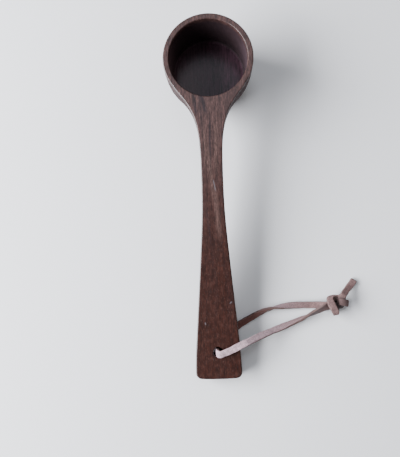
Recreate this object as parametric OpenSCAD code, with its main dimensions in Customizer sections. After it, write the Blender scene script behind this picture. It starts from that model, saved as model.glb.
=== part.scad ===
// A long-handled round scoop carved from one piece of walnut, with a flat leather lace
// looped through the handle's end and closed by an overhand knot.
// It stands the way it comes to rest on a table: tipped back, on the edge of the cup's
// base and on the end of the handle. +Y points from the handle towards the cup.

/* [Cup] */
// Outer diameter of the rim
rim_d = 46.5; // [44:0.5:50]
// Inner diameter at the mouth
mouth_d = 40.5; // [38:0.5:42]
// Inner diameter at the floor
floor_d = 39.5; // [36:0.5:40]
// Inner depth from the rim to the floor
cup_depth = 25; // [20:0.5:27]
// Thickness of the floor
floor_t = 5; // [4:0.5:8]
// Diameter of the flat base outside
base_d = 35; // [30:0.5:38]
// Height of the straight band below the rim, before the outside rounds in
band_h = 8; // [4:0.5:12]
// Radius of the corner between the inner wall and the floor
corner_r = 1.5; // [0.5:0.25:3]

/* [Handle] */
// Distance from the cup's centre to the handle's end
reach = 161.25; // [150:0.25:170]
// Width at the waist behind the cup
waist_w = 10.6; // [9:0.2:13]
// Width at the end
end_w = 22.6; // [18:0.2:26]
// Thickness at the end
end_t = 8; // [6:0.5:8.5]
// Thickness where the handle meets the cup
neck_t = 8; // [7:0.5:11]
// Radius of the fillet under the neck
fillet_r = 5; // [4:0.5:9]
// Radius of the two corners of the end, seen from above
end_r = 3; // [2:0.5:5]

/* [Lace] */
// Width of the flat lace
lace_w = 3.4; // [2.5:0.1:3.6]
// Thickness of the lace
lace_t = 1.5; // [1:0.1:1.6]
// Diameter of the drilled lace hole
hole_d = 5; // [4.8:0.1:6]
// Distance from the hole's centre to the handle's end
hole_inset = 13; // [12.5:0.25:14]

/* [Hidden] */
$fn = 128;

cup_h = cup_depth + floor_t;
rim_r = rim_d / 2;
base_r = base_d / 2;
// The outside rounds in along a quarter of an ellipse, from the band down to the base.
round_steps = 14;
cup_outside = [for (i = [0:round_steps]) let (a = 90 * i / round_steps)
    [base_r + (rim_r - base_r) * cos(a), -band_h - (cup_h - band_h) * sin(a)]];

// Rest pose: a line touches the base's edge and the lower edge of the handle's end.
tilt = atan2(cup_h - end_t, reach - base_r);
lift = base_r * sin(tilt) + cup_h * cos(tilt);
far_y = max([for (p = cup_outside) p[0] * cos(tilt) - p[1] * sin(tilt)]);
near_y = -reach * cos(tilt);
mid_y = (far_y + near_y) / 2;

// Outline of the handle: half its width at a distance u from the cup's centre.
// The waist, plus a flare that runs into the rim, plus a splay towards the end that eases off
// over its last stretch.
flare_start = 14.6;
flare_w = sqrt(rim_r * rim_r - flare_start * flare_start) - waist_w / 2;
flare_run = 11.9;
flare_power = 1.28;
splay_start = 79.5;
splay_soft = 12;
splay_reach = reach - splay_start;
ease_start = 145;
ease_w = 0.75;
splay_slope = (end_w + 2 * ease_w - waist_w) / (splay_reach + sqrt(splay_reach ^ 2 + splay_soft ^ 2));
function flare(u) = flare_w * exp(-(max(0, u - flare_start) / flare_run) ^ flare_power);
function splay(u) = splay_slope / 2 * (u - splay_start + sqrt((u - splay_start) ^ 2 + splay_soft ^ 2));
function ease(u) = ease_w * (max(0, u - ease_start) / (reach - ease_start)) ^ 2;
function half_width(u) = waist_w / 2 + flare(u) + splay(u) - ease(u);

outline_steps = 60;
outline_end = reach - end_r;
side_u = [for (i = [0:outline_steps])
    flare_start + (outline_end - flare_start) * (i / outline_steps) ^ 1.4];
corner_x = half_width(outline_end) - end_r;
end_corner = [for (a = [0:15:90]) [corner_x + end_r * cos(a), -outline_end - end_r * sin(a)]];
right_side = concat([for (u = side_u) [half_width(u), -u]], end_corner);
left_side = [for (i = [len(right_side) - 1:-1:0]) [-right_side[i][0], right_side[i][1]]];

// Side view of the handle as distance from the cup's centre and height below the top face.
side_view = [[flare_start, 0], [reach, 0], [reach, -end_t], [rim_r + fillet_r, -neck_t], [flare_start, -neck_t]];
// Section of the fillet under the neck, a quarter of a circle that runs into the cup's wall.
fillet_section = concat(
    [[flare_start, -neck_t + 1], [rim_r + fillet_r, -neck_t + 1]],
    [for (a = [0:10:90]) [rim_r + fillet_r * (1 - sin(a)), -neck_t - fillet_r * (1 - cos(a))]],
    [[flare_start, -neck_t - fillet_r]]);

hole_u = reach - hole_inset;

// Route of the lace: a point on its middle, then the direction that its pale face looks in.
// Both strands start at the middle of the hole, and their ends all but touch there.
over_route = [
    [-0.4, -78.8, 6.03, -1, 0, 0],
    [-0.4, -79.0, 8.2, -1, 0, 0],
    [-0.4, -79.5, 9.9, -0.95, -0.1, 0.3],
    [0.0, -80.1, 11.0, -0.6, -0.2, 0.8],
    [1.0, -80.4, 11.5, -0.2, -0.15, 1],
    [2.8, -79.8, 11.5, 0, -0.15, 1],
    [5.8, -78.7, 11.5, 0, -0.15, 1],
    [8.4, -77.5, 11.7, 0, -0.15, 1],
    [10.8, -76.4, 11.9, 0, -0.1, 1],
    [13.2, -75.4, 11.7, 0, 0, 1],
    [16.0, -74.3, 10.5, 0, 0.1, 1],
    [19.2, -72.9, 8.6, 0, 0.2, 1],
    [22.8, -71.5, 6.5, 0, 0.3, 1],
    [26.6, -70.1, 4.7, 0, 0.4, 1],
    [30.6, -68.7, 3.4, 0, 0.5, 0.87],
    [35.0, -67.1, 2.6, 0, 0.77, 0.64],
    [39.0, -65.6, 2.3, 0, 0.93, 0.37],
    [42.7, -64.2, 2.3, 0, 0.98, 0.17],
    [47.4, -62.1, 2.8, 0, 0.99, -0.14],
    [51.0, -60.5, 3.8, 0, 0.88, -0.47],
    [54.2, -59.1, 4.9, 0, 0.57, -0.82],
    [58.2, -57.8, 5.2, 0, 0, -1]];
under_route = [
    [-0.4, -78.8, 5.97, -1, 0, 0],
    [-0.4, -78.7, 3.8, -1, 0, 0],
    [-0.3, -78.5, 2.2, -0.95, -0.1, -0.3],
    [0.1, -78.2, 1.2, -0.6, -0.3, -0.8],
    [1.0, -77.4, 0.85, -0.1, -0.1, -1],
    [2.8, -75.4, 0.8, 0, 0, -1],
    [5.6, -72.1, 0.8, 0, 0, -1],
    [8.2, -69.0, 0.9, 0, 0, -1],
    [10.8, -66.3, 1.2, 0, 0.3, -1],
    [14.2, -64.4, 1.5, 0, 0.7, -1],
    [18.4, -62.2, 1.7, 0, 0.8, -0.9],
    [23.9, -59.6, 1.9, 0, 1, -0.4],
    [28.1, -58.5, 1.9, 0, 1, -0.1],
    [34.2, -57.6, 1.8, 0, 0.7, 0.75],
    [41.1, -57.2, 1.3, 0, 0.15, 1],
    [47.9, -57.3, 1.2, 0, 0, 1],
    [52.4, -57.5, 2.0, -0.2, 0, 1],
    [58.2, -57.8, 3.4, 0, 0, 1]];
long_tail_route = [
    [61.0, -55.7, 5.4, 0, 0, 1],
    [63.6, -53.5, 4.5, 0, 0, 1],
    [65.8, -51.3, 3.2, 0, 0, 1],
    [68.0, -49.0, 2.0, 0, 0, 1],
    [70.0, -46.9, 1.2, 0, 0, 1],
    [71.3, -45.2, 0.9, 0, 0, 1]];
short_tail_route = [
    [62.0, -58.4, 3.0, 0, 0, 1],
    [64.2, -58.1, 2.7, 0, 0, 1],
    [66.4, -57.5, 2.2, 0, 0, 1]];

// The knot's outer shape is a barrel with rounded shoulders that lies along the strands.
knot_start = [57.0, -58.0, 4.0];
knot_turn = 8;
knot_len = 8.4;
knot_r = 3.9;
knot_shoulder = 1.8;

// Section of the flat lace: a rectangle with its corners taken off, as parts of half its
// width and half its thickness.
lace_section = [[1, 0.4], [0.8, 1], [-0.8, 1], [-1, 0.4], [-1, -0.4], [-0.8, -1], [0.8, -1], [1, -0.4]];
function unit(v) = v / norm(v);
function place(r, i) = [r[i][0], r[i][1], r[i][2]];
function facing(r, i) = [r[i][3], r[i][4], r[i][5]];
function heading(r, i) = unit(place(r, min(i + 1, len(r) - 1)) - place(r, max(i - 1, 0)));
function across(v, t) = unit(v - (v * t) * t);
function lace_ring(r, i) =
    let (t = heading(r, i), n = across(facing(r, i), t), s = cross(t, n))
    [for (p = lace_section) place(r, i) + s * p[0] * lace_w / 2 + n * p[1] * lace_t / 2];
sides = len(lace_section);
function wall_faces(rings) = [for (i = [0:rings - 2], k = [0:sides - 1], half = [0, 1])
    let (a = i * sides + k, b = i * sides + (k + 1) % sides)
    half == 0 ? [a, b, b + sides] : [a, b + sides, a + sides]];
function cap_faces(rings) = [
    [for (k = [sides - 1:-1:0]) k],
    [for (k = [0:sides - 1]) (rings - 1) * sides + k]];

module at_rest() {
    translate([0, -mid_y, lift]) rotate([tilt, 0, 0]) children();
}

module lace(route) {
    rings = len(route);
    polyhedron(
        points = [for (i = [0:rings - 1], p = lace_ring(route, i)) p],
        faces = concat(wall_faces(rings), cap_faces(rings)));
}

module cup_body() {
    rotate_extrude() polygon(concat([[0, 0], [rim_r, 0]], cup_outside, [[0, -cup_h]]));
}

module cup_hollow() {
    floor_r = floor_d / 2;
    corner = [for (a = [0:15:90])
        [floor_r - corner_r * (1 - cos(a)), -cup_depth + corner_r * (1 - sin(a))]];
    rotate_extrude() polygon(concat([[0, 1], [mouth_d / 2, 1], [mouth_d / 2, 0]], corner, [[0, -cup_depth]]));
}

module handle_bar() {
    deepest = neck_t + fillet_r;
    intersection() {
        translate([0, 0, -deepest]) linear_extrude(deepest) polygon(concat(right_side, left_side));
        union() {
            rotate([90, 0, 0]) rotate([0, -90, 0])
                linear_extrude(2 * rim_r, center = true) polygon(side_view);
            rotate_extrude() polygon(fillet_section);
        }
    }
}

// The cup and its handle, carved from one piece of walnut, with the lace hole drilled.
module walnut_ladle() {
    color([0.32, 0.2, 0.17]) at_rest() difference() {
        union() {
            cup_body();
            handle_bar();
        }
        cup_hollow();
        translate([0, -hole_u, -neck_t - 1]) cylinder(d = hole_d, h = neck_t + 2);
    }
}

// The lace from the middle of the hole, over the handle's top face, to the knot.
module lace_over_strand() {
    color([0.68, 0.6, 0.6]) lace(over_route);
}

// The lace from the middle of the hole, under the handle, to the knot.
module lace_under_strand() {
    color([0.6, 0.5, 0.48]) lace(under_route);
}

// Both ends of the lace, tied together in one overhand knot.
module lace_knot() {
    profile = concat(
        [[0, 0]],
        [for (a = [0:15:90]) [knot_r - knot_shoulder * (1 - sin(a)), knot_shoulder * (1 - cos(a))]],
        [for (a = [90:-15:0]) [knot_r - knot_shoulder * (1 - sin(a)), knot_len - knot_shoulder * (1 - cos(a))]],
        [[0, knot_len]]);
    color([0.62, 0.53, 0.52]) translate(knot_start) rotate([0, 90, knot_turn]) rotate_extrude() polygon(profile);
}

// The longer end of the lace, beyond the knot.
module lace_long_tail() {
    color([0.64, 0.55, 0.54]) lace(long_tail_route);
}

// The shorter end of the lace, beyond the knot.
module lace_short_tail() {
    color([0.5, 0.4, 0.38]) lace(short_tail_route);
}

walnut_ladle();
lace_over_strand();
lace_under_strand();
lace_knot();
lace_long_tail();
lace_short_tail();
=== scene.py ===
import math
from functools import reduce

import bmesh
import bpy
import numpy as np
from bpy.props import FloatProperty, FloatVectorProperty, PointerProperty
from mathutils import Matrix, Vector


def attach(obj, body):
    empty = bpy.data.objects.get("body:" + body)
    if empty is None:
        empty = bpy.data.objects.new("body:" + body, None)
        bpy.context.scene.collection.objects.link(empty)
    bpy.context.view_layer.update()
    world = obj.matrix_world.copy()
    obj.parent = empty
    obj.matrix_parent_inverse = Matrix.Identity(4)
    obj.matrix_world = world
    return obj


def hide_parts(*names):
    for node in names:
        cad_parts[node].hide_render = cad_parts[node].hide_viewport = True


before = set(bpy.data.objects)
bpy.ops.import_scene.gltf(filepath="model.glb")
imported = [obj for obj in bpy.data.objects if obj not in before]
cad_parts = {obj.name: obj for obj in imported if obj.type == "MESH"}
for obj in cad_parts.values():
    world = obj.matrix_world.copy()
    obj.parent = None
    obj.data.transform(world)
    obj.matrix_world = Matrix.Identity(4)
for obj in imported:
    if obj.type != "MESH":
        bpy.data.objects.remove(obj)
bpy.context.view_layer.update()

bl_info = {
    "name": "Walnut ladle with a leather lace",
    "version": (1, 0, 0),
    "blender": (4, 5, 0),
    "location": "View3D > Sidebar > Ladle",
    "description": "Builds a long-handled walnut ladle and the knotted lace it hangs by",
    "category": "Add Mesh",
}

MM = 0.001
TO_MM = 1 / MM


# ---------------------------------------------------------------- sizes and colours

def length(name, description, default):
    return FloatProperty(
        name=name, description=description, default=default, min=0.0001, max=0.5,
        unit="LENGTH", subtype="DISTANCE", precision=5)


def colour(name, description, default):
    return FloatVectorProperty(
        name=name, description=description, default=default, size=3, min=0, max=1,
        subtype="COLOR")


def power(name, description, default):
    return FloatProperty(
        name=name, description=description, default=default, min=0, unit="POWER")


class LadleSizes(bpy.types.PropertyGroup):
    rim_round: length(
        "Rim rounding", "Radius of the rim's outer edge and the handle's top edges", 0.0006)
    mouth_round: length("Mouth rounding", "Radius of the mouth's edge", 0.0005)
    under_round: length("Under rounding", "Radius of the handle's lower edges", 0.0016)
    hole_lip: length(
        "Hole lip", "Depth of the softened lip at both ends of the lace hole", 0.0004)
    # The neck tint is lighter and greyer than the end tint: partly the wood's own tone, partly
    # painted sheen near the cup.
    neck_tint: colour("Neck wood", "Walnut at the cup and neck", (0.049, 0.0250, 0.0222))
    end_tint: colour(
        "End wood", "Walnut at the far end of the handle", (0.0250, 0.0058, 0.0029))
    streak_tint: colour(
        "Dark streaks", "Dark figure that runs along the grain", (0.013, 0.0075, 0.0095))
    fleck_tint: colour("Light flecks", "Short light rays in the wood", (0.086, 0.050, 0.042))
    # Painted shade and painted sky reflection: the cup's inner wall is painted darker and bluish.
    inside_shade_tint: colour(
        "Inside wood", "Darkened wood of the cup's inner wall", (0.040, 0.0265, 0.0315))
    # Painted shade and painted sky reflection: the cup's inner floor is painted darker and bluish.
    bottom_shade_tint: colour(
        "Cup bottom", "Darkened wood of the cup's inner floor", (0.043, 0.0185, 0.0300))
    # Painted light: the left of the cup's inside is painted lighter.
    left_wall_light_tint: colour(
        "Left inner wall", "Lighter wood at the left of the cup's inside", (0.105, 0.062, 0.066))
    # Painted shade: the far side of the cup's inner wall is painted darkest.
    far_wall_shade_tint: colour(
        "Far inner wall", "Darkest wood at the far side of the cup's inside",
        (0.012, 0.0075, 0.0095))
    # Two small pale bluish spots and a painted glint on the handle.
    spot_glint_tint: colour("Rubbed spots", "Small rubbed spots on the handle", (0.20, 0.19, 0.21))
    gloss: FloatProperty(
        name="Gloss", description="Strength of the oiled wood's shine", default=0.22, min=0,
        max=1)


class LaceSizes(bpy.types.PropertyGroup):
    width: length("Lace width", "Width of the flat lace", 0.0034)
    thickness: length("Lace thickness", "Thickness of the flat lace", 0.0015)
    suede_tint: colour(
        "Suede face", "Rough pale face of the leather at the hole", (0.40, 0.288, 0.316))
    # Painted shade: the pale face painted darker towards the knot.
    knot_shade_suede_tint: colour(
        "Handled suede", "Rough pale face of the leather at the knot", (0.165, 0.100, 0.095))
    grain_tint: colour("Grain face", "Smooth dark face of the leather", (0.135, 0.052, 0.040))
    # Painted shade: the dark face painted darker towards the knot.
    knot_shade_grain_tint: colour(
        "Handled grain", "Smooth dark face of the leather at the knot", (0.066, 0.040, 0.038))
    # The cut edges' own colour, painted darker as painted shade too.
    cut_edge_shade_tint: colour("Cut edge", "Cut edges of the lace", (0.105, 0.066, 0.060))


class StageSizes(bpy.types.PropertyGroup):
    floor_tint: colour("Floor", "Pale plain floor", (0.86, 0.86, 0.87))
    key_energy: power("Window light", "Power of the soft light from the left", 28.0)
    top_energy: power("Ceiling light", "Power of the soft light from above", 2.2)
    fill_energy: power("Fill light", "Power of the soft light from the right", 1.2)


# ---------------------------------------------------------------- shader expressions

class Val:
    """A shader socket that takes part in arithmetic; each operation adds its Math node."""

    def __init__(self, tree, socket):
        self.tree = tree
        self.socket = socket

    def math(self, operation, *others, clamp=False):
        node = self.tree.nodes.new("ShaderNodeMath")
        node.operation = operation
        node.use_clamp = clamp
        for slot, value in zip(node.inputs, others):
            if isinstance(value, Val):
                self.tree.links.new(value.socket, slot)
            else:
                slot.default_value = value
        return Val(self.tree, node.outputs[0])

    def __add__(self, other):
        return self.math("ADD", self, other)

    def __radd__(self, other):
        return self.math("ADD", other, self)

    def __sub__(self, other):
        return self.math("SUBTRACT", self, other)

    def __rsub__(self, other):
        return self.math("SUBTRACT", other, self)

    def __mul__(self, other):
        return self.math("MULTIPLY", self, other)

    def __rmul__(self, other):
        return self.math("MULTIPLY", other, self)

    def __truediv__(self, other):
        return self.math("DIVIDE", self, other)

    def __rtruediv__(self, other):
        return self.math("DIVIDE", other, self)

    def __pow__(self, other):
        return self.math("POWER", self, other)

    def __rpow__(self, other):
        return self.math("POWER", other, self)

    def abs(self):
        return self.math("ABSOLUTE", self)

    def most(self, other):
        return self.math("MAXIMUM", self, other)

    def clamped(self):
        return self.math("ADD", self, 0.0, clamp=True)


class Finish:
    """A material under construction: one method adds any node, the others are short forms of it."""

    def __init__(self, name):
        old = bpy.data.materials.get(name)
        if old:
            bpy.data.materials.remove(old)
        self.material = bpy.data.materials.new(name)
        self.material.use_nodes = True
        self.tree = self.material.node_tree
        self.tree.nodes.clear()
        out = self.tree.nodes.new("ShaderNodeOutputMaterial")
        self.shader = self.tree.nodes.new("ShaderNodeBsdfPrincipled")
        self.tree.links.new(self.shader.outputs[0], out.inputs[0])

    def put(self, slot, value):
        if isinstance(value, Val):
            self.tree.links.new(value.socket, slot)
        else:
            slot.default_value = value

    def node(self, kind, settings=None, inputs=None, output=0):
        """Adds a node: settings come first, then the values or links of its sockets."""
        node = self.tree.nodes.new(kind)
        for key, value in (settings or {}).items():
            setattr(node, key, value)
        for key, value in (inputs or {}).items():
            self.put(node.inputs[key], value)
        return Val(self.tree, node.outputs[output])

    def place(self, turn=(0, 0, 0), scale=(1, 1, 1), shift=(0, 0, 0)):
        """The point on the object, in metres, shifted, turned and stretched."""
        spot = self.node("ShaderNodeTexCoord", output="Object")
        spot = self.node("ShaderNodeVectorMath", {"operation": "ADD"}, {0: spot, 1: shift})
        return self.node("ShaderNodeMapping", {"vector_type": "POINT"},
                         {"Vector": spot, "Rotation": turn, "Scale": scale})

    def stretched(self, spot, scale):
        return self.node(
            "ShaderNodeVectorMath", {"operation": "MULTIPLY"}, {0: spot, 1: scale})

    def angle(self, x, y):
        """The angle of a point about the cup's axis."""
        return self.node("ShaderNodeMath", {"operation": "ARCTAN2"}, {0: y, 1: x})

    def joined(self, x, y, z):
        """A point from its three coordinates."""
        return self.node("ShaderNodeCombineXYZ", None, {0: x, 1: y, 2: z})

    def part(self, spot, axis):
        return self.node("ShaderNodeSeparateXYZ", None, {0: spot}, output=axis)

    def attribute(self, name):
        return self.node("ShaderNodeAttribute", {"attribute_name": name}, output="Fac")

    def noise(self, spot, scale=1.0, detail=2.0, rough=0.5):
        return self.node("ShaderNodeTexNoise", {"noise_dimensions": "3D"},
                         {"Vector": spot, "Scale": scale, "Detail": detail,
                          "Roughness": rough}, output="Fac")

    def ease(self, value, low, high):
        """A smooth step from 0 at low to 1 at high."""
        return self.node("ShaderNodeMapRange", {"interpolation_type": "SMOOTHSTEP"},
                         {"Value": value, "From Min": low, "From Max": high})

    def mix(self, first, second, share, blend="MIX"):
        node = self.tree.nodes.new("ShaderNodeMix")
        node.data_type = "RGBA"
        node.blend_type = blend
        node.clamp_factor = True
        self.put(node.inputs[0], share)
        for slot, tint in ((node.inputs[6], first), (node.inputs[7], second)):
            self.put(slot, tint if isinstance(tint, Val) else (*tint, 1))
        return Val(self.tree, node.outputs[2])

    def shade(self, base, low, high, mask, share):
        """The base times a tint that goes from low to high with the mask, mixed in by share."""
        return self.mix(base, self.mix(low, high, mask), share, "MULTIPLY")

    def bump(self, height, strength, distance):
        return self.node("ShaderNodeBump", None,
                         {"Strength": strength, "Distance": distance, "Height": height})

    def surface(self, **values):
        for name, value in values.items():
            self.put(self.shader.inputs[name.replace("_", " ")], value)
        return self.material


# ---------------------------------------------------------------- wood shape

# How the ladle stands: its tilt, the height of the rim's centre, and its middle along Y.
TILT = math.radians(8.70123)
LIFT = 32.30215
MID_Y = -67.15097

# The wood's sizes in millimetres. Those along the handle are counted from the cup's axis.
RIM_R = 23.25
MOUTH_R = 20.25
FLOOR_R = 19.75
CORNER_R = 1.5
CUP_DEPTH = 25.0
CUP_H = 30.0
BAND_H = 8.0
BASE_R = 17.5
REACH = 161.25
END_R = 3.0
CORNER_START = 158.03
HANDLE_T = 8.0
FILLET_R = 5.0
WAIST_W = 10.6
END_W = 22.6
FLARE_START = 14.6
FLARE_RUN = 11.9
FLARE_POWER = 1.28
SPLAY_START = 79.5
SPLAY_EASE = 12.0
LATE_START = 145.0
LATE_EASE = 0.75
HOLE_U = 148.25
HOLE_R = 2.5
DEEPEST = HANDLE_T + FILLET_R


def at_rest(points):
    """Wood coordinates in millimetres to the ladle's place on the table in metres: a turn
    about X by the tilt, then a lift."""
    x, y, z = points[..., 0], points[..., 1], points[..., 2]
    c, s = math.cos(TILT), math.sin(TILT)
    return np.stack([x, y * c - z * s - MID_Y, y * s + z * c + LIFT], axis=-1) * MM


def half_width(u):
    """Half the handle's width at the distance u from the cup's centre: the waist, plus a bell
    that opens into the rim, plus a soft ramp towards the end, less a late ease."""
    waist, end = WAIST_W / 2, END_W / 2
    bell = math.sqrt(RIM_R ** 2 - FLARE_START ** 2) - waist
    flare = bell * np.exp(-(np.maximum(0, u - FLARE_START) / FLARE_RUN) ** FLARE_POWER)
    run = REACH - SPLAY_START
    slope = 2 * (end + LATE_EASE - waist) / (run + math.hypot(run, SPLAY_EASE))
    splay = slope / 2 * (u - SPLAY_START + np.sqrt((u - SPLAY_START) ** 2 + SPLAY_EASE ** 2))
    late = LATE_EASE * (np.maximum(0, u - LATE_START) / (REACH - LATE_START)) ** 2
    return waist + flare + splay - late


def arc(centre, radius, start, end, steps):
    """Points on a circle about centre from one angle to another, in degrees."""
    a = np.radians(np.linspace(start, end, steps + 1))
    return np.stack([centre[0] + radius * np.cos(a), centre[1] + radius * np.sin(a)], -1)


def spaced(rows, count):
    """The same line through rows, with count + 1 points evenly spaced along it."""
    run = np.concatenate([[0], np.cumsum(np.linalg.norm(np.diff(rows, axis=0), axis=1))])
    at = np.linspace(0, run[-1], count + 1)
    return np.stack([np.interp(at, run, rows[:, k]) for k in range(rows.shape[1])], -1)


def wall_line():
    """The cup's outer wall as radius and height: a straight band, then a quarter ellipse."""
    a = np.radians(np.linspace(0, 90, 241))
    bowl = np.stack([BASE_R + (RIM_R - BASE_R) * np.cos(a),
                     -BAND_H - (CUP_H - BAND_H) * np.sin(a)], -1)
    return np.concatenate([[[RIM_R, -0.6]], bowl])


def cup_profile(rim_e, mouth_e, round_steps, side_steps):
    """Radius and height from the floor's middle, up the inner wall, over the rim and down the
    outer wall to the middle of the base. Also the rows where the handle's top face starts and
    where the fillet under the neck ends."""
    rings = (0.0, 1.2, 3, 6, 10, 14)
    inner = [np.array([[r, -CUP_DEPTH] for r in (*rings, 17.6)]),
             arc((FLOOR_R - CORNER_R, CORNER_R - CUP_DEPTH), CORNER_R, -90, 0, 7)]
    heights = np.array([-22.9, -20, -16, -12, -8, -4.5, -2.2, -mouth_e - 0.3, -mouth_e])
    lean = np.interp(heights, [CORNER_R - CUP_DEPTH, 0], [FLOOR_R, MOUTH_R])
    inner.append(np.stack([lean, heights], -1))
    inner.append(arc((MOUTH_R + mouth_e, -mouth_e), mouth_e, 180, 90, 6)[1:])
    top = RIM_R - rim_e
    inner.append(np.array([[MOUTH_R + mouth_e + 0.25, 0], [(MOUTH_R + top) / 2, 0],
                           [top - 0.25, 0]]))
    inner = np.concatenate(inner)
    edge = arc((top, -rim_e), rim_e, 90, 0, round_steps)
    wall = wall_line()
    wall[0, 1] = -rim_e
    cut = np.argmax(wall[:, 1] < -DEEPEST)
    share = (DEEPEST + wall[cut - 1, 1]) / (wall[cut - 1, 1] - wall[cut, 1])
    joint = wall[cut - 1] + share * (wall[cut] - wall[cut - 1])
    upper = spaced(np.concatenate([wall[:cut], [joint]]), side_steps - round_steps)
    lower = spaced(np.concatenate([[joint], wall[cut:]]), 22)
    base = np.array([[r, -CUP_H] for r in (BASE_R - 0.6, *reversed(rings))])
    rows = np.concatenate([inner, edge, upper[1:], lower[1:], base])
    return rows, len(inner), len(inner) + side_steps


def patch(points, skip=None):
    """A grid of points as vertices and quads; skip is a mask of the quads left out."""
    n, m = points.shape[:2]
    i, j = np.meshgrid(np.arange(n - 1), np.arange(m - 1), indexing="ij")
    a = i * m + j
    quads = np.stack([a, a + 1, a + m + 1, a + m], -1)
    if skip is not None:
        quads = quads[~skip]
    return points.reshape(-1, 3), quads.reshape(-1, 4)


def mesh_of(name, parts, weld=2e-6):
    """One mesh from several patches, with their shared edges welded and faces outward."""
    points, faces, start = [], [], 0
    for p, q in parts:
        points.append(p)
        faces.append(q + start)
        start += len(p)
    mesh = bpy.data.meshes.new(name)
    mesh.from_pydata(np.concatenate(points).tolist(), [], np.concatenate(faces).tolist())
    work = bmesh.new()
    work.from_mesh(mesh)
    bmesh.ops.remove_doubles(work, verts=work.verts, dist=weld)
    bmesh.ops.recalc_face_normals(work, faces=work.faces)
    work.to_mesh(mesh)
    work.free()
    mesh.polygons.foreach_set("use_smooth", [True] * len(mesh.polygons))
    mesh.update()
    return mesh


def show(name, mesh, material):
    old = bpy.data.objects.get(name)
    if old:
        bpy.data.objects.remove(old)
    piece = bpy.data.objects.new(name, mesh)
    bpy.context.scene.collection.objects.link(piece)
    mesh.materials.clear()
    mesh.materials.append(material)
    return piece


def handle_depth(rho):
    """Depth of the handle's under face at the distance rho from the cup's axis: the handle's
    thickness, plus a quarter circle that runs down into the cup's wall."""
    q = np.clip((rho - RIM_R) / FILLET_R, 0, 1)
    return HANDLE_T + FILLET_R * (1 - np.sqrt(np.maximum(0, 1 - (1 - q) ** 2)))


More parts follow.
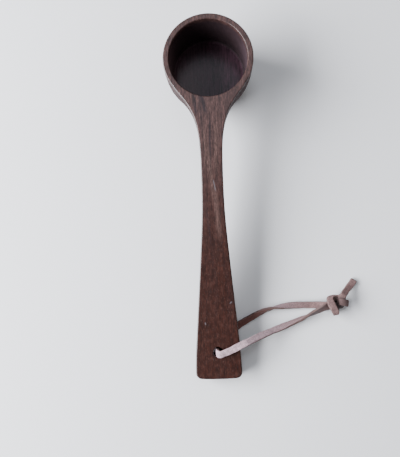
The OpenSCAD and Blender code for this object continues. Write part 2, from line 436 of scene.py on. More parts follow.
def ladle_patches(rim_e, mouth_e, under_e):
    """The cup as a profile carried round its axis, with a window left in its wall; the handle
    as a top face and an under face ruled by arcs about the cup's axis, with side walls whose
    edges are rounded; and the end face, which is the side wall's section carried along an arc."""
    edge_steps, side_steps, across = 6, 20, 40
    rows, top_row, low_row = cup_profile(rim_e, mouth_e, edge_steps, side_steps)
    opening = math.asin(math.sqrt(RIM_R ** 2 - FLARE_START ** 2) / RIM_R)

    def spread(reach_arc):
        """Places across the handle from -1 to 1, close together at both edges."""
        edge = np.minimum(0.3 / np.maximum(reach_arc, 1e-6), 0.1)[..., None]
        inner = np.linspace(-1, 1, across - 1)
        return np.concatenate([-np.ones_like(edge), inner * (1 - edge), np.ones_like(edge)], -1)

    # Outline of the handle: points on its side and the direction in towards the wood.
    near = FLARE_START + 17 * (np.linspace(0, 1, 34) ** 1.25)
    corner_x = float(half_width(np.float64(CORNER_START))) - END_R
    corner_y = math.sqrt((REACH - END_R) ** 2 - corner_x ** 2)
    far = np.arange(near[-1] + 1.2, corner_y - 0.6, 1.35)
    u = np.concatenate([near, far])
    side = np.stack([half_width(u), u], -1)
    slope = np.gradient(side[:, 0], u)
    inward = np.stack([-np.ones_like(u), slope], -1) / np.hypot(1, slope)[:, None]
    turn = np.linspace(0, math.atan2(corner_y, corner_x), 12)
    bend = np.stack([np.cos(turn), np.sin(turn)], -1)
    side = np.concatenate([side, np.array([corner_x, corner_y]) + END_R * bend])
    inward = np.concatenate([inward, -bend])
    inward[0] = -side[0] / RIM_R
    low_e = under_e * np.clip((side[:, 1] - FLARE_START) / 18, 0, 1) ** 0.7
    low_e[0] = 0

    top_edge = side + rim_e * inward
    low_edge = side + low_e[:, None] * inward
    low_edge[0] = rows[low_row, 0] * np.array([math.sin(opening), math.cos(opening)])
    top_edge[0] = rows[top_row, 0] * np.array([math.sin(opening), math.cos(opening)])

    def ruled(edge, height):
        """Arcs about the cup's axis between the two mirrored edges, at the given heights."""
        rho = np.hypot(edge[:, 0], edge[:, 1])
        alpha = np.arctan2(edge[:, 0], edge[:, 1])
        phi = spread(rho * alpha) * alpha[:, None]
        return np.stack([rho[:, None] * np.sin(phi), -rho[:, None] * np.cos(phi),
                         np.broadcast_to(height[:, None], phi.shape)], -1)

    low_rho = np.hypot(low_edge[:, 0], low_edge[:, 1])
    depth = handle_depth(low_rho)
    depth[0] = -rows[low_row, 1]
    top = ruled(top_edge, np.zeros(len(side)))
    low = ruled(low_edge, -depth)

    # Section of the side: how far in from the outline, and how deep.
    a = np.linspace(0, np.pi / 2, edge_steps + 1)
    straight = side_steps - 2 * edge_steps
    flat = np.linspace(0, 1, straight + 1)[1:-1]
    walls_in, walls_z = [], []
    for e, d in zip(low_e, depth):
        walls_in.append(np.concatenate(
            [rim_e * (1 - np.sin(a)), 0 * flat, e * (1 - np.cos(a))]))
        walls_z.append(np.concatenate(
            [-rim_e * (1 - np.cos(a)), -rim_e - flat * (d - e - rim_e), -(d - e) - e * np.sin(a)]))
    walls_in, walls_z = np.array(walls_in), np.array(walls_z)
    plan = side[:, None, :] + walls_in[..., None] * inward[:, None, :]
    wall = np.stack([plan[..., 0], -plan[..., 1], walls_z], -1)
    cup_side = rows[top_row:low_row + 1]
    wall[0] = np.stack([cup_side[:, 0] * math.sin(opening), -cup_side[:, 0] * math.cos(opening),
                        cup_side[:, 1]], -1)
    wall[:, 0] = top[:, -1]
    wall[:, -1] = low[:, -1]
    mirror = wall * np.array([-1, 1, 1])

    # The end face, between the two side walls' last sections.
    edge = wall[-1]
    rho = np.hypot(edge[:, 0], edge[:, 1])
    share = spread(np.array([top_edge[-1, 0]]))[0]
    phi = share[:, None] * np.arctan2(edge[:, 0], -edge[:, 1])[None, :]
    end = np.stack([rho * np.sin(phi), -rho * np.cos(phi),
                    np.broadcast_to(edge[:, 2], phi.shape)], -1)
    end[0], end[-1] = mirror[-1], wall[-1]
    end[:, 0], end[:, -1] = top[-1], low[-1]

    # The cup, with its columns in the window's sector on the handle's own places.
    sector = np.arctan2(top[0, :, 0], -top[0, :, 1])
    rest = np.linspace(opening, 2 * math.pi - opening, 93)[1:]
    phi = np.concatenate([sector, rest])
    cup = np.stack([rows[:, 0, None] * np.sin(phi), -rows[:, 0, None] * np.cos(phi),
                    np.broadcast_to(rows[:, 1, None], (len(rows), len(phi)))], -1)
    low[0] = cup[low_row, :len(sector)]
    cup[:, -1] = cup[:, 0]
    window = np.zeros((len(rows) - 1, len(phi) - 1), bool)
    window[top_row:low_row, :len(sector) - 1] = True
    return [patch(at_rest(p), skip=s) for p, s in
            ((cup, window), (top, None), (low, None), (wall, None), (mirror, None), (end, None))]


def drill(lip):
    """The lace hole as a solid to cut away: a profile of radius against height that opens
    like a trumpet at both faces, carried round the hole's axis."""
    a = np.radians(np.linspace(0, 90, 6))
    flare = np.stack([HOLE_R + lip * (1 - np.sin(a)), -lip * (1 - np.cos(a))], -1)
    clear = 1.2
    low = -HANDLE_T - clear
    rows = np.concatenate([[[0, clear], [HOLE_R + lip, clear]], flare,
                           (flare * [1, -1] - [0, HANDLE_T])[::-1],
                           [[HOLE_R + lip, low], [0, low]]])
    phi = np.linspace(0, 2 * math.pi, 65)
    grid = np.stack([rows[:, 0, None] * np.sin(phi), -HOLE_U - rows[:, 0, None] * np.cos(phi),
                     np.broadcast_to(rows[:, 1, None], (len(rows), len(phi)))], -1)
    grid[:, -1] = grid[:, 0]
    return [patch(at_rest(grid))]


def cut_away(piece, cutter):
    """Takes the cutter's solid out of the piece and removes the cutter."""
    work = piece.modifiers.new("Lace hole", "BOOLEAN")
    work.operation = "DIFFERENCE"
    work.solver = "EXACT"
    work.object = cutter
    graph = bpy.context.evaluated_depsgraph_get()
    shape = bpy.data.meshes.new_from_object(piece.evaluated_get(graph))
    piece.modifiers.clear()
    piece.data = shape
    bpy.data.objects.remove(cutter)


# ---------------------------------------------------------------- lace shape

# Both routes start inside the hole: a point in millimetres, then the pale face's direction.
OVER_ROUTE = (
    (-0.4, -78.8, 6.03, -1, 0, 0), (-0.4, -79.0, 8.2, -1, 0, 0),
    (-0.4, -79.5, 9.9, -0.95, -0.1, 0.3), (0.0, -80.1, 11.0, -0.6, -0.2, 0.8),
    (1.0, -80.4, 11.5, -0.2, -0.15, 1), (2.8, -79.8, 11.5, 0, -0.15, 1),
    (5.8, -78.7, 11.5, 0, -0.15, 1), (8.4, -77.5, 11.7, 0, -0.15, 1),
    (10.8, -76.4, 11.9, 0, 0.05, 1), (13.2, -75.4, 11.7, 0, 0.22, 1),
    (16.0, -74.3, 10.5, 0, 0.36, 1), (19.2, -72.9, 8.6, 0, 0.46, 1),
    (22.8, -71.5, 6.5, 0, 0.54, 1), (26.6, -70.1, 4.7, 0, 0.6, 0.95),
    (30.6, -68.7, 3.4, 0, 0.5, 0.87), (35.0, -67.1, 2.6, 0, 0.7, 0.71),
    (39.0, -65.6, 2.3, 0, 0.84, 0.54), (42.7, -64.2, 2.3, 0, 0.92, 0.38),
    (47.4, -62.1, 2.8, 0, 0.98, -0.2), (51.0, -60.5, 3.8, 0, 0.85, -0.53),
    (54.2, -59.1, 4.9, 0, 0.57, -0.82))
UNDER_ROUTE = (
    (-0.4, -78.8, 5.97, -1, 0, 0), (-0.4, -78.7, 3.8, -1, 0, 0),
    (-0.3, -78.5, 2.2, -0.95, -0.1, -0.3), (0.1, -78.2, 1.2, -0.6, -0.3, -0.8),
    (1.0, -77.4, 0.85, -0.1, -0.1, -1), (2.8, -75.4, 0.8, 0, 0, -1), (5.6, -72.1, 0.8, 0, 0, -1),
    (8.2, -69.0, 0.9, 0, 0, -1), (10.8, -66.3, 1.2, 0, 0.3, -1), (14.2, -64.4, 1.5, 0, 0.7, -1),
    (18.4, -62.2, 1.7, 0, 0.8, -0.9), (23.9, -59.6, 1.9, 0, 1, -0.4),
    (28.1, -58.5, 1.9, 0, 1, -0.1), (34.2, -57.6, 1.8, 0, 0.7, 0.75),
    (41.1, -57.2, 1.3, 0, 0.15, 1), (47.9, -57.3, 1.2, 0, 0, 1), (52.4, -57.5, 2.0, -0.2, 0, 1))
# The overhand knot, about its middle: along the strands, across them, up, then the outward
# direction. The two strands lie in it one on the other, each a little off this line.
KNOT_MIDDLE = (61.0, -58.0, 3.95)
KNOT_TURN = math.radians(8)
KNOT_LANE = 0.62
# The knot's middle, where its folds are painted darker as painted shade.
KNOT_SHADE_SPOT = (63.2, -57.0, 5.0)
KNOT_ROUTE = (
    (-2.6, 0.1, 0.0, 0, 0, 1), (0.2, -0.1, -0.1, 0, -0.2, 1), (2.2, 0.0, -0.4, 0.4, -0.6, 0.6),
    (3.3, 1.2, -0.7, 1, -0.3, 0), (2.9, 2.8, -0.7, 0.8, 0.7, 0), (1.0, 3.7, -0.5, 0.2, 1, 0.1),
    (-1.6, 3.9, 0.2, -0.2, 0.9, 0.4), (-3.5, 3.1, 1.7, -0.1, 0.65, 0.75),
    (-3.5, 1.2, 2.6, 0, 0.2, 1), (-2.8, -1.1, 2.6, 0, -0.25, 1), (-2.1, -2.9, 1.6, 0, -0.8, 0.6),
    (-1.7, -3.6, -0.2, 0, -1, 0), (-1.2, -2.8, -1.8, 0, -0.7, -0.7),
    (-0.5, -0.9, -2.45, 0, -0.1, -1), (0.1, 0.9, -2.1, 0, 0.5, -0.9),
    (0.6, 2.3, -1.1, -0.4, 0.9, -0.3), (1.3, 3.1, 0.1, -0.6, 0.2, 0.7))
TURN_UNDER = ((-1.7, -3.6, -0.2, 0, -1, 0),)
OVER_ENTRY = ((-4.7, 0.15, 1.0, 0, 0.17, -0.98),)
UNDER_ENTRY = ((-5.2, 0.9, -0.7, 0, 0, 1),)
LONG_TAIL = ((2.7, 3.5, 1.5, -0.3, -0.3, 1),)
LONG_END = (
    (63.8, -53.4, 5.6, 0, 0, 1), (65.8, -51.2, 3.8, 0.1, 0.2, 1), (68.0, -49.0, 2.1, 0, 0.1, 1),
    (70.0, -46.9, 1.2, 0, 0, 1), (71.3, -45.2, 0.9, 0, 0, 1))
SHORT_TAIL = (
    (1.7, 1.1, 2.2, -0.1, 0.0, 1), (3.4, 0.5, 2.3, 0.2, -0.1, 1), (5.0, -0.1, 1.4, 0.5, -0.1, 0.9))


def from_knot(rows, offset=0.0):
    """Knot coordinates to the table's, with each point moved by offset along its outward
    direction."""
    rows = np.array(rows, float)
    out = rows[:, 3:] / np.linalg.norm(rows[:, 3:], axis=1)[:, None]
    spot = rows[:, :3] + offset * out
    c, s = math.cos(KNOT_TURN), math.sin(KNOT_TURN)
    turn = np.array([[c, s, 0], [-s, c, 0], [0, 0, 1]])
    return np.concatenate([spot @ turn + np.array(KNOT_MIDDLE), out @ turn], 1)


def over_route():
    """The strand over the handle: it takes the outer lane of the knot, dark face outward as far
    as the knot's right turn, where it turns over, then pale face outward to the long tail."""
    knot = from_knot(KNOT_ROUTE, KNOT_LANE)
    knot[:4, 3:] *= -1
    knot[4, 3:] = (-0.3, 0.2, -1)
    return np.concatenate([np.array(OVER_ROUTE, float), from_knot(OVER_ENTRY), knot,
                           from_knot(LONG_TAIL), np.array(LONG_END, float)])


def under_route():
    """The strand under the handle: it takes the inner lane of the knot and ends in the short
    tail."""
    knot = from_knot(KNOT_ROUTE, -KNOT_LANE)
    knot[-1] = from_knot(((0.6, 1.6, 0.7, -0.6, 0.3, 0.7),))[0]
    return np.concatenate([np.array(UNDER_ROUTE, float), from_knot(UNDER_ENTRY), knot,
                           from_knot(SHORT_TAIL)])


def smooth_run(rows, step):
    """Points at equal steps along a centripetal spline through rows, with the facing that
    goes with each, as whole arrays: each span is a cubic between its two points."""
    rows = np.array(rows, float)
    ends = np.concatenate([[2 * rows[0] - rows[1]], rows, [2 * rows[-1] - rows[-2]]])
    gap = np.sqrt(np.linalg.norm(np.diff(ends[:, :3], axis=0), axis=1))[:, None]
    p0, p1, p2, p3 = ends[:-3], ends[1:-2], ends[2:-1], ends[3:]
    g0, g1, g2 = gap[:-2], gap[1:-1], gap[2:]
    m1 = g1 * ((p1 - p0) / g0 - (p2 - p0) / (g0 + g1) + (p2 - p1) / g1)
    m2 = g1 * ((p2 - p1) / g1 - (p3 - p1) / (g1 + g2) + (p3 - p2) / g2)
    t = np.linspace(0, 1, 24, endpoint=False)[None, :, None]
    p1, p2, m1, m2 = (v[:, None, :] for v in (p1, p2, m1, m2))
    line = ((2 * t ** 3 - 3 * t ** 2 + 1) * p1 + (t ** 3 - 2 * t ** 2 + t) * m1
            + (3 * t ** 2 - 2 * t ** 3) * p2 + (t ** 3 - t ** 2) * m2).reshape(-1, rows.shape[1])
    line = np.concatenate([line, rows[-1:]])
    run = np.concatenate([[0], np.cumsum(np.linalg.norm(np.diff(line[:, :3], axis=0), axis=1))])
    at = np.linspace(0, run[-1], int(run[-1] / step) + 1)
    return np.stack([np.interp(at, run, line[:, k]) for k in range(line.shape[1])], -1), run[-1]


def lace_section(width, thickness):
    """The flat lace's section: a rectangle with rounded corners, with the share of the pale
    face (1 on it, 0 on the dark one) and the place round the section at each point."""
    a, b, r = width / 2, thickness / 2, thickness * 0.3
    corner = [arc((sx * (a - r), sy * (b - r)), r, start, start + 90, 4)
              for sx, sy, start in ((1, 1, 0), (-1, 1, 90), (-1, -1, 180), (1, -1, 270))]
    flat = np.linspace(a - r, r - a, 7)[1:-1]
    ring = np.concatenate([corner[0], np.stack([flat, flat * 0 + b], -1), corner[1], corner[2],
                           np.stack([-flat, flat * 0 - b], -1), corner[3]])
    return ring, np.clip(ring[:, 1] / b, -1, 1) * 0.5 + 0.5


def lace_mesh(name, rows, width, thickness, seed):
    """The lace's section carried along its route and turned to its facing; the width and the
    thickness swell and thin a little along it, and both ends close with a soft cut."""
    step = 0.32
    line, total = smooth_run(rows, step)
    spot, face = line[:, :3], line[:, 3:]
    along = np.gradient(spot, axis=0)
    along /= np.linalg.norm(along, axis=1)[:, None]

    def squared(face):
        """The facing made square to the line, at unit length."""
        face = face - (face * along).sum(1)[:, None] * along
        return face / np.maximum(np.linalg.norm(face, axis=1), 1e-6)[:, None]

    # The facing is made square to the line, averaged over nine points, and made square again.
    face = squared(face)
    kernel = np.hanning(9) / np.hanning(9).sum()
    face = squared(np.stack(
        [np.convolve(np.pad(face[:, k], 4, "edge"), kernel, "valid") for k in range(3)], -1))
    across = np.cross(along, face)
    ring, pale = lace_section(width, thickness)
    s = np.linspace(0, total, len(spot))
    wide = 1 + 0.03 * np.sin(s * 0.47 + seed) + 0.02 * np.sin(s * 1.31 + 2.1 * seed)
    thick = 1 + 0.05 * np.sin(s * 0.61 + 1.7 * seed) + 0.03 * np.sin(s * 1.9 + seed)
    # Pressed thinner inside the knot, and pinched narrower where the band turns under.
    from_middle = np.linalg.norm(spot - np.array(KNOT_MIDDLE), axis=1)
    from_turn = np.linalg.norm(spot - from_knot(TURN_UNDER)[0, :3], axis=1)
    thick *= 1 - 0.14 * np.exp(-(from_middle / 5.5) ** 4)
    wide *= 1 - 0.24 * np.exp(-(from_turn / 1.5) ** 2)
    lead = np.clip(np.minimum(s, total - s) / 0.35, 0, 1)
    soft = 1 - 0.14 * (1 - lead) ** 2
    sideways = ring[None, :, 0, None] * (wide * soft)[:, None, None]
    outward = ring[None, :, 1, None] * (thick * soft)[:, None, None]
    grid = spot[:, None, :] + across[:, None, :] * sideways + face[:, None, :] * outward
    table_gap = 0.02
    grid[..., 2] = np.maximum(grid[..., 2], table_gap)
    n, m = grid.shape[:2]
    middle = np.stack([grid[0].mean(0), grid[-1].mean(0)])
    points = np.concatenate([grid.reshape(-1, 3), middle]) * MM
    i, j = np.meshgrid(np.arange(n - 1), np.arange(m), indexing="ij")
    k = (j + 1) % m
    quads = np.stack([i * m + j, i * m + k, (i + 1) * m + k, (i + 1) * m + j], -1).reshape(-1, 4)
    j = np.arange(m)
    k = (j + 1) % m
    last = (n - 1) * m
    caps = np.concatenate([np.stack([k, j, j * 0 + n * m], -1),
                           np.stack([last + j, last + k, j * 0 + n * m + 1], -1)])
    mesh = bpy.data.meshes.new(name)
    mesh.from_pydata(points.tolist(), [], quads.tolist() + caps.tolist())
    work = bmesh.new()
    work.from_mesh(mesh)
    bmesh.ops.recalc_face_normals(work, faces=work.faces)
    work.to_mesh(mesh)
    work.free()
    mesh.polygons.foreach_set("use_smooth", [True] * len(mesh.polygons))
    for key, values in (("pale", np.concatenate([np.tile(pale, n), [0.5, 0.5]])),
                        ("run", np.concatenate([np.repeat(s * MM, m), [0, total * MM]])),
                        ("side", np.concatenate([np.tile(ring[:, 0] / width, n), [0, 0]]))):
        store = mesh.attributes.new(key, "FLOAT", "POINT")
        store.data.foreach_set("value", values.astype(np.float32))
    mesh.update()
    return mesh, (spot * MM).tolist(), total * MM


# ---------------------------------------------------------------- finishes

# Single marks on the handle: their two ends as across and reach from the cup's centre, in
# millimetres, their width, the share of the grain's sway that they follow, and their strength.
DARK_STREAKS = (
    ((-8.3, 18.5), (-6.5, 31.0), 2.0, 1.0, 0.75), ((-4.4, 19.0), (-1.8, 30.0), 2.5, 1.0, 0.85),
    ((-0.2, 30.0), (-1.1, 64.0), 1.5, 0.5, 0.8), ((-4.6, 30.0), (-3.4, 52.0), 1.3, 1.0, 0.35),
    ((-3.5, 76.0), (-1.8, 96.0), 1.6, 1.0, 0.35))
LIGHT_STREAKS = (
    ((-3.4, 34.0), (-3.2, 58.0), 2.6, 1.0, 0.4), ((2.6, 32.0), (2.0, 62.0), 3.0, 1.0, 0.4),
    ((-2.3, 44.0), (0.9, 76.0), 3.0, 1.0, 0.55), ((0.8, 66.0), (3.0, 94.0), 3.6, 1.0, 0.55))
# Two small pale bluish spots low on the handle, and one painted glint near the neck.
SPOTS_AND_GLINT = (
    ((7.5, 123.7), (6.3, 124.9), 0.8, 0.25, 0.36), ((-6.0, 133.5), (-5.8, 134.9), 0.8, 0.25, 0.36),
    ((0.4, 63.0), (1.5, 69.0), 0.75, 0.2, 0.36))


def walnut_finish(sizes):
    """Oiled walnut. The grain lies along the handle: a slow change of tone from the neck to the
    end, lighter and greyer at the neck partly as painted sheen, broad bands that follow the growth
    rings, single streaks, two pale bluish spots and a painted glint, fine fibres, short open pores
    and light rays, each a noise that is stretched along the grain. The cup's inside is painted
    darker and bluish as painted shade and painted sky reflection, with turning marks round its
    wall that are partly painted streaky highlights; the sides are painted darker as painted shade
    and shine less."""
    f = Finish("walnut")
    neck, end, streaked, fleck, inside, bottom, left_wall, far_wall, spot_glint = (
        tuple(tint) for tint in (
            sizes.neck_tint, sizes.end_tint, sizes.streak_tint, sizes.fleck_tint,
            sizes.inside_shade_tint, sizes.bottom_shade_tint, sizes.left_wall_light_tint, sizes.far_wall_shade_tint,
            sizes.spot_glint_tint))
    spot = f.place(turn=(-TILT, 0, 0), scale=(TO_MM, TO_MM, TO_MM),
                   shift=(0, MID_Y * MM, -LIFT * MM))
    x, y, z = f.part(spot, 0), f.part(spot, 1), f.part(spot, 2)
    reach = -1.0 * y
    from_axis = x * x + y * y

    # Noises, stretched along the grain or round the growth rings.
    drift = (f.noise(f.joined(x * 0.05, y * 0.022, z * 0.05), detail=1.0) - 0.5) * 7.0
    ring = ((x + 70.0) * (x + 70.0) + (z + 45.0) * (z + 45.0)) ** 0.5 + drift
    broad = f.noise(f.joined(ring * 0.33, y * 0.014, 0.0), detail=2.0, rough=0.5)
    bands = f.noise(f.joined(ring * 1.25, y * 0.028, z * 0.02), detail=2.0, rough=0.55)
    wander = x + drift * 0.3
    fibre = f.noise(f.joined(wander, y * 0.052, z), scale=1.5, detail=4.0, rough=0.66)
    hairs = f.noise(f.joined(wander, y * 0.12, z), scale=3.6, detail=3.0, rough=0.66)
    mottle = f.noise(f.joined(x, y * 0.45, z), scale=0.55, detail=3.0, rough=0.6)
    pores = f.noise(f.joined(x + 3.0, y * 0.16, z), scale=3.4, detail=1.0)
    pores = f.ease(pores, 0.655, 0.735)
    rays = f.noise(f.joined(x + y * 0.10, y * 0.30, z + 5.0), scale=2.9, detail=1.5)
    rays = f.ease(rays, 0.60, 0.76)

    # The slow change of tone and the bands. The tone is lighter and greyer at the neck: partly the
    # wood's own, partly painted sheen near the cup.
    tone = f.ease(reach + (broad - 0.5) * 60.0, 30.0, 112.0)
    base = f.mix(neck, end, tone)
    base = f.mix(base, streaked, f.ease(broad, 0.48, 0.70) * (0.46 - 0.30 * tone))
    base = f.mix(base, streaked, f.ease(bands, 0.52, 0.74) * (0.50 - 0.38 * tone))
    base = f.mix(base, fleck, f.ease(bands, 0.46, 0.26) * (0.22 - 0.12 * tone))

    # Single streaks.
    sway = (fibre - 0.5) * 1.4 + (mottle - 0.5) * 0.9

    def streak(start, end, width, sway_share, strength):
        """A soft line along the grain between two points given as across and reach."""
        dx, dy = end[0] - start[0], end[1] - start[1]
        span = math.hypot(dx, dy)
        dx, dy = dx / span, dy / span
        along = ((x - start[0]) * dx + (reach - start[1]) * dy) / span
        off = ((x - start[0]) * dy - (reach - start[1]) * dx + sway * sway_share).abs()
        core = f.ease(off, width * 0.55, width * 0.1)
        return core * f.ease(along, -0.08, 0.22) * f.ease(along, 1.08, 0.72) * strength

    def strongest(rows):
        return reduce(Val.most, [streak(*row) for row in rows])

    dark = strongest(DARK_STREAKS)
    base = f.mix(base, streaked, dark)
    base = f.mix(base, fleck, strongest(LIGHT_STREAKS))

    # Fibres, pores, rays, two pale bluish spots and one painted glint.
    base = f.shade(base, (0.22, 0.20, 0.20), (1.85, 1.84, 1.82), f.ease(fibre, 0.24, 0.76),
                   0.66 - 0.22 * tone)
    base = f.shade(base, (0.35, 0.34, 0.34), (1.66, 1.66, 1.66), f.ease(hairs, 0.28, 0.72),
                   0.86 - 0.36 * tone)
    base = f.shade(base, (0.45, 0.42, 0.42), (1.50, 1.50, 1.52), f.ease(mottle, 0.27, 0.73),
                   0.48 + 0.10 * tone)
    base = f.mix(base, fleck, f.ease(mottle * 0.6 + hairs * 0.4, 0.48, 0.66) * tone * 0.16)
    base = f.mix(base, streaked, pores * 0.62)
    base = f.mix(base, fleck, rays * (0.12 + 0.34 * f.ease(reach, 55.0, 110.0)))
    base = f.mix(base, spot_glint, strongest(SPOTS_AND_GLINT))

    # The cup's inside, painted darker and bluish, more so deeper down: painted shade and painted
    # sky reflection. Distances from its axis are squared.
    hollow = f.ease(z, -25.7, -25.2) * f.ease(from_axis, 428.0, 410.0)
    corner = hollow * f.ease(from_axis, 300.0, 332.0) * f.ease(z, -22.6, -23.5)
    on_floor = f.ease(z, -24.3, -24.95)
    # The lighter turning marks are partly real and partly painted streaky highlights on the inner
    # wall.
    turned = f.noise(f.joined(f.angle(x, y) * 1.6, z * 0.9, z * 0.2), scale=1.6, detail=4.0,
                     rough=0.7)
    marks = turned * f.ease(z, -24.95, -24.3) + fibre * on_floor
    shaded_inside = f.mix(inside, bottom, on_floor)
    shaded_inside = f.shade(shaded_inside, (0.30, 0.30, 0.31), (1.75, 1.75, 1.78),
                   f.ease(mottle * 0.3 + marks * 0.7, 0.34, 0.66), 0.8)
    # Painted light: the inside is painted lighter at its left, most towards the handle.
    shaded_inside = f.mix(shaded_inside, left_wall, f.ease(x, 5.0, -14.0) * (0.55 - 0.45 * f.ease(y, 0.0, 14.0)))
    # Painted shade: the far inner wall is painted darkest.
    shaded_inside = f.mix(shaded_inside, far_wall, f.ease(y, 2.0, 15.0) * f.ease(z, -24.9, -24.0) * 0.75)
    # Painted shade: the inside's painted colour comes in from a little below the rim downwards.
    base = f.mix(base, shaded_inside, hollow * f.ease(z, -0.6, -4.5) * 0.84)

    # The polished rim edge, and the sides and underside, which shine less and are painted darker as
    # painted shade.
    edge = f.ease(z, -0.85, -0.55) * f.ease(z, -0.015, -0.12)
    edge = edge * (1.0 - 0.5 * f.ease(from_axis, 445.0, 432.0))
    sides = f.ease(z, -0.7, -1.5) * (1.0 - hollow)
    base = f.mix(base, streaked, sides * 0.30)

    rough = (0.46 + (fibre - 0.5) * 0.16 + pores * 0.18 + mottle * 0.06 + corner * 0.35
             - edge * 0.10 + sides * 0.26)
    coat = 0.14 + edge * 0.55 - corner * 0.14 - sides * 0.13
    height = fibre * 0.55 + hairs * 0.25 - pores * 0.8 - dark * 0.1
    return f.surface(Base_Color=base, Roughness=rough.clamped(), Specular_IOR_Level=sizes.gloss,
                     Coat_Weight=coat.clamped(), Coat_Roughness=0.22,
                     Normal=f.bump(height, 0.35, 0.00012))


def lace_finish(sizes):
    """Flat leather lace: a napped pale suede face, a smooth dark grain face and cut edges
    between them, told apart by the lace's own 'pale' attribute, with fibres that lie along it.
    Both faces are painted darker towards the knot as painted shade, and most of all on its middle."""
    f = Finish("leather lace")
    suede_tint, knot_shade_suede_tint, grain_tint, knot_shade_grain_tint, cut_edge_shade_tint = (
        tuple(tint) for tint in (sizes.suede_tint, sizes.knot_shade_suede_tint, sizes.grain_tint,
                                 sizes.knot_shade_grain_tint, sizes.cut_edge_shade_tint))
    pale = f.attribute("pale")
    run = f.attribute("run") * TO_MM
    side = f.attribute("side") * (sizes.width / MM)
    spot = f.place(scale=(TO_MM, TO_MM, TO_MM))
    flat = f.joined(run, side * 2.6, pale * 2.0)
    nap = f.noise(f.stretched(flat, (0.9, 0.5, 1)), scale=2.3, detail=4.0, rough=0.72)
    cloud = f.noise(spot, scale=0.35, detail=2.0)
    grain = f.noise(spot, scale=5.5, detail=3.0, rough=0.6)

    # Painted shade: both faces darken from the handle towards the knot.
    knot_shade = f.ease(f.part(spot, 0) + (cloud - 0.5) * 14.0, 14.0, 50.0)
    suede = f.mix(suede_tint, knot_shade_suede_tint, knot_shade)
    suede = f.shade(suede, (0.35, 0.33, 0.33), (1.65, 1.62, 1.62),
                    f.ease(nap * 0.8 + cloud * 0.2, 0.30, 0.70), 0.9)
    leather = f.mix(grain_tint, knot_shade_grain_tint, knot_shade)
    leather = f.shade(leather, (0.45, 0.45, 0.45), (1.6, 1.6, 1.6), grain * 0.6 + cloud * 0.4,
                      0.7)
    upper = f.ease(pale, 0.72, 0.95)
    lower = f.ease(pale, 0.28, 0.05)
    # The cut edges take a dark colour: partly their own, partly painted shade.
    tint = f.mix(f.mix(cut_edge_shade_tint, suede, upper), leather, lower)
    # Painted shade in the knot's folds, darkest at its middle.
    away = f.node("ShaderNodeVectorMath", {"operation": "DISTANCE"},
                  {0: spot, 1: KNOT_SHADE_SPOT}, output="Value")
    tint = f.mix(tint, knot_shade_grain_tint, f.ease(away, 4.6, 2.4) * 0.85)

    rough = 0.92 - lower * 0.38
    height = nap * upper + grain * lower * 0.5 + f.noise(spot, scale=9.0, detail=2.0) * 0.4
    return f.surface(Base_Color=tint, Roughness=rough.clamped(),
                     Normal=f.bump(height, 0.55, 0.00022), IOR=1.45)


def floor_finish(tint):
    f = Finish("pale floor")
    cloud = f.noise(f.place(), scale=3.0, detail=2.0)
    shaded = tuple(v * 0.97 for v in tint)
    return f.surface(Base_Color=f.mix(tuple(tint), shaded, cloud), Roughness=0.75)


# ---------------------------------------------------------------- operators

LENS = 38.725
CAMERA_PLACE = (0.16, -71.96, 257.78)
CAMERA_AXES = (
    (0.99893, -0.02854, -0.03629), (0.03569, 0.97595, 0.21506), (0.02928, -0.21613, 0.97593))
# Each lamp's place and aim in metres, its size, the property of its power, and its tint.
LAMPS = (
    ("window", (-0.64, -0.07, 0.37), (0, 0.01, 0.01), (0.85, 0.42), "key_energy",
     (0.93, 0.95, 1.0)),
    ("ceiling", (0.0, 0.36, 1.1), (0, 0.05, 0), (0.45, 0.45), "top_energy",
     (0.84, 0.90, 1.0)),
    ("bounce", (0.75, 0.15, 0.45), (0, 0, 0), (0.7, 0.6), "fill_energy",
     (1.0, 0.96, 0.93)))
SKY_TINT = (0.92, 0.95, 1.0)
SKY_STRENGTH = 0.26
FLOOR_HALF = 4


class LADLE_OT_camera(bpy.types.Operator):
    """Place the camera above the ladle"""
    bl_idname = "ladle.camera"
    bl_label = "Camera"

    def execute(self, context):
        data = bpy.data.cameras.new("camera")
        data.lens = LENS
        data.clip_start = 0.01
        camera = bpy.data.objects.new("camera", data)
        context.scene.collection.objects.link(camera)
        turn = Matrix(CAMERA_AXES).transposed().to_4x4()
        camera.matrix_world = Matrix.Translation(Vector(CAMERA_PLACE) * MM) @ turn
        context.scene.camera = camera
        return {"FINISHED"}


class LADLE_OT_lace(bpy.types.Operator):
    """Build both strands of the leather lace, from the hole to the knot and its tails"""
    bl_idname = "ladle.lace"
    bl_label = "Leather lace"

    def execute(self, context):
        sizes = context.scene.ladle_lace
        finish = lace_finish(sizes)
        width, thickness = sizes.width / MM, sizes.thickness / MM
        strands = (
            ("lace_over", over_route(), (-0.0004, -0.0795, 0.0099), 0.4,
             ("lace_over_strand", "lace_knot", "lace_long_tail")),
            ("lace_under", under_route(), (-0.0003, -0.0785, 0.0022), 2.9,
             ("lace_under_strand", "lace_short_tail")))
        for name, route, leaves, seed, nodes in strands:
            mesh, path, total = lace_mesh(name, route, width, thickness, seed)
            piece = show(name, mesh, finish)
            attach(piece, "lace")
            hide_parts(*nodes)
        return {"FINISHED"}


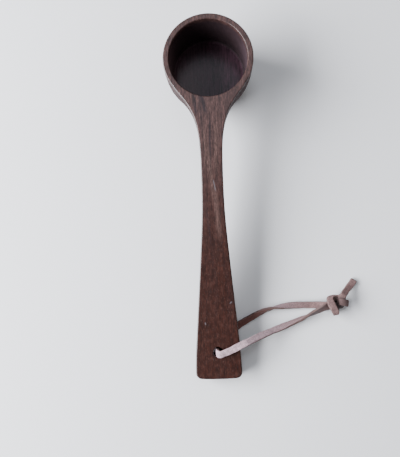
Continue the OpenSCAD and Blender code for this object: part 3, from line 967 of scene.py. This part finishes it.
class LADLE_OT_wood(bpy.types.Operator):
    """Build the cup and its handle as one piece of walnut and drill the lace hole"""
    bl_idname = "ladle.wood"
    bl_label = "Walnut ladle"

    def execute(self, context):
        sizes = context.scene.ladle_wood
        finish = walnut_finish(sizes)
        patches = ladle_patches(
            sizes.rim_round / MM, sizes.mouth_round / MM, sizes.under_round / MM)
        piece = show("ladle_wood", mesh_of("ladle_wood", patches), finish)
        cut_away(piece, show("drill", mesh_of("drill", drill(sizes.hole_lip / MM)), finish))
        piece.modifiers.new("Flat faces", "WEIGHTED_NORMAL").keep_sharp = True
        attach(piece, "ladle")
        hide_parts("walnut_ladle")
        return {"FINISHED"}


class LADLE_OT_stage(bpy.types.Operator):
    """Lay the pale floor and set the soft lights"""
    bl_idname = "ladle.stage"
    bl_label = "Floor and lights"

    def execute(self, context):
        sizes = context.scene.ladle_stage
        t = np.linspace(-FLOOR_HALF, FLOOR_HALF, 9)
        x, y = np.meshgrid(t, t, indexing="ij")
        plane = mesh_of("floor", [patch(np.stack([x, y, 0 * x], -1))])
        floor = show("floor", plane, floor_finish(sizes.floor_tint))
        for name, spot, aim, size, energy, tint in LAMPS:
            data = bpy.data.lights.new(name, "AREA")
            data.shape = "RECTANGLE"
            data.size, data.size_y = size
            data.energy = getattr(sizes, energy)
            data.color = tint
            lamp = bpy.data.objects.new(name, data)
            lamp.visible_glossy = name != "bounce"
            context.scene.collection.objects.link(lamp)
            look = (Vector(aim) - Vector(spot)).to_track_quat("-Z", "Y")
            lamp.matrix_world = Matrix.Translation(Vector(spot)) @ look.to_matrix().to_4x4()
        world = bpy.data.worlds.new("studio")
        world.use_nodes = True
        sky = world.node_tree.nodes["Background"]
        sky.inputs["Color"].default_value = (*SKY_TINT, 1)
        sky.inputs["Strength"].default_value = SKY_STRENGTH
        context.scene.world = world
        return {"FINISHED"}


class LADLE_PT_panel(bpy.types.Panel):
    """Sizes, colours and the build steps"""
    bl_idname = "LADLE_PT_panel"
    bl_label = "Walnut ladle"
    bl_space_type = "VIEW_3D"
    bl_region_type = "UI"
    bl_category = "Ladle"

    def draw(self, context):
        layout = self.layout
        for name, kind in GROUPS:
            box = layout.box()
            for key in kind.__annotations__:
                box.prop(getattr(context.scene, name), key)
        for operator in OPERATORS:
            layout.operator(operator.bl_idname)


GROUPS = (("ladle_lace", LaceSizes), ("ladle_wood", LadleSizes), ("ladle_stage", StageSizes))
OPERATORS = (LADLE_OT_camera, LADLE_OT_lace, LADLE_OT_wood, LADLE_OT_stage)


def register():
    for key, group in GROUPS:
        bpy.utils.register_class(group)
        setattr(bpy.types.Scene, key, PointerProperty(type=group))
    for operator in OPERATORS:
        bpy.utils.register_class(operator)
    bpy.utils.register_class(LADLE_PT_panel)


def unregister():
    bpy.utils.unregister_class(LADLE_PT_panel)
    for operator in reversed(OPERATORS):
        bpy.utils.unregister_class(operator)
    for key, group in reversed(GROUPS):
        delattr(bpy.types.Scene, key)
        bpy.utils.unregister_class(group)


def main():
    register()
    bpy.ops.ladle.camera()
    bpy.ops.ladle.lace()
    bpy.ops.ladle.wood()
    bpy.ops.ladle.stage()
    bpy.context.view_layer.update()


if __name__ == "__main__":
    main()
